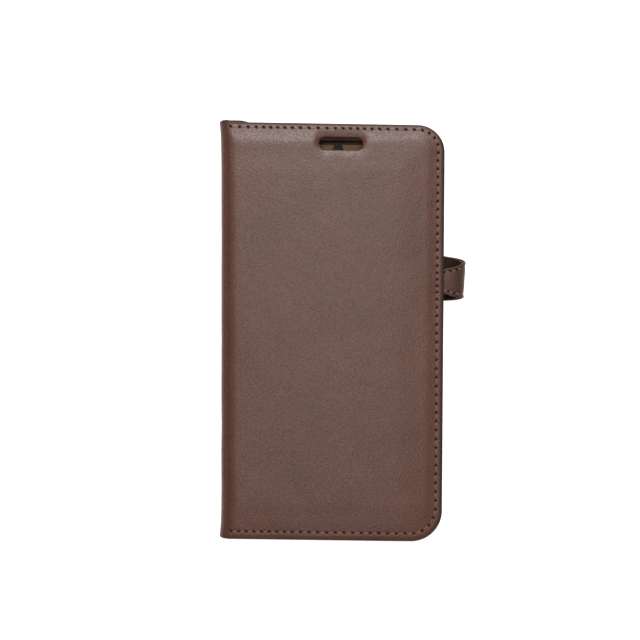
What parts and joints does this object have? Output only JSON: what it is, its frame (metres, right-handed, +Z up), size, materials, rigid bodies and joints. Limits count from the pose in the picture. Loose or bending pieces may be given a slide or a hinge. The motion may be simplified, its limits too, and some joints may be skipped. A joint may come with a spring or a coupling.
{
  "type": "phone wallet case",
  "caption": "Book-type leather phone case with an earpiece slot, a stitched edge, a magnetic closing strap, card pockets and a phone tray inside.",
  "frame": {"origin": "centre of the back cover's flat outer face, on which the closed case lies", "axes": "+Y towards the earpiece end, +X towards the opening edge and the strap, +Z up through the thickness to the front cover"},
  "size_m": [0.0985, 0.166, 0.0195],
  "materials": {
    "cover_leather": "satin, fine pebbled grain",
    "strap_leather": "satin, fine pebbled grain",
    "lining_leather": "matte, smooth",
    "strap_lining_leather": "matte, smooth",
    "pocket_leather": "satin, fine pebbled grain",
    "thread": "twisted polyester, slight sheen",
    "board": "matte",
    "adhesive": "tacky film",
    "tray_plastic": "matte flexible plastic",
    "pad_fabric": "napped microfibre",
    "label_paper": "matte",
    "backing_fabric": "thin woven",
    "magnet_steel": "plated"
  },
  "bodies": {
    "back_cover": {"back_leather": "cover_leather", "back_board": "board", "back_lining": "lining_leather", "back_stitching": "thread", "tray_adhesive": "adhesive", "phone_tray": "tray_plastic", "tray_pad": "pad_fabric", "blank_label": "label_paper", "strap_root": "cover_leather", "strap_anchor_stitching": "thread"},
    "spine": {"spine_leather": "cover_leather", "spine_lining": "lining_leather"},
    "front_cover": {"front_leather": "cover_leather", "front_board": "board", "front_lining": "lining_leather", "front_stitching": "thread", "front_inner_stitching": "thread", "closing_magnet": "magnet_steel", "note_pocket": "pocket_leather", "card_pocket_top": "pocket_leather", "card_pocket_middle": "pocket_leather", "card_pocket_bottom": "pocket_leather", "pocket_backing": "backing_fabric", "pocket_stitching": "thread"},
    "strap_arm": {"strap_arm_leather": "strap_leather", "strap_arm_lining": "strap_lining_leather", "strap_arm_stitching": "thread"},
    "strap_tip": {"strap_tip_leather": "strap_leather", "strap_tip_lining": "strap_lining_leather", "strap_tip_stitching": "thread", "strap_magnet": "magnet_steel"}
  },
  "joints": [
    {"name": "spine_fold", "type": "hinge", "parent": "back_cover", "child": "spine", "pos_m": [-0.0433, 0, 0.001], "axis": [0, -1, 0], "range_deg": [0, 90]},
    {"name": "cover_fold", "type": "hinge", "parent": "spine", "child": "front_cover", "pos_m": [-0.0433, 0, 0.0185], "axis": [0, -1, 0], "range_deg": [0, 90]},
    {"name": "strap_root_bend", "type": "hinge", "parent": "back_cover", "child": "strap_arm", "pos_m": [0.0445, 0.0216, 0.00055], "axis": [0, 1, 0], "range_deg": [0, 20]},
    {"name": "strap_mid_bend", "type": "hinge", "parent": "strap_arm", "child": "strap_tip", "pos_m": [0.05405, 0.0207, 0.0101], "axis": [0, 1, 0], "range_deg": [0, 100]}
  ],
  "couplings": [
    {"joint": "strap_root_bend", "follows": "cover_fold", "ratio": 0.2222},
    {"joint": "strap_mid_bend", "follows": "cover_fold", "ratio": 1.11}
  ]
}
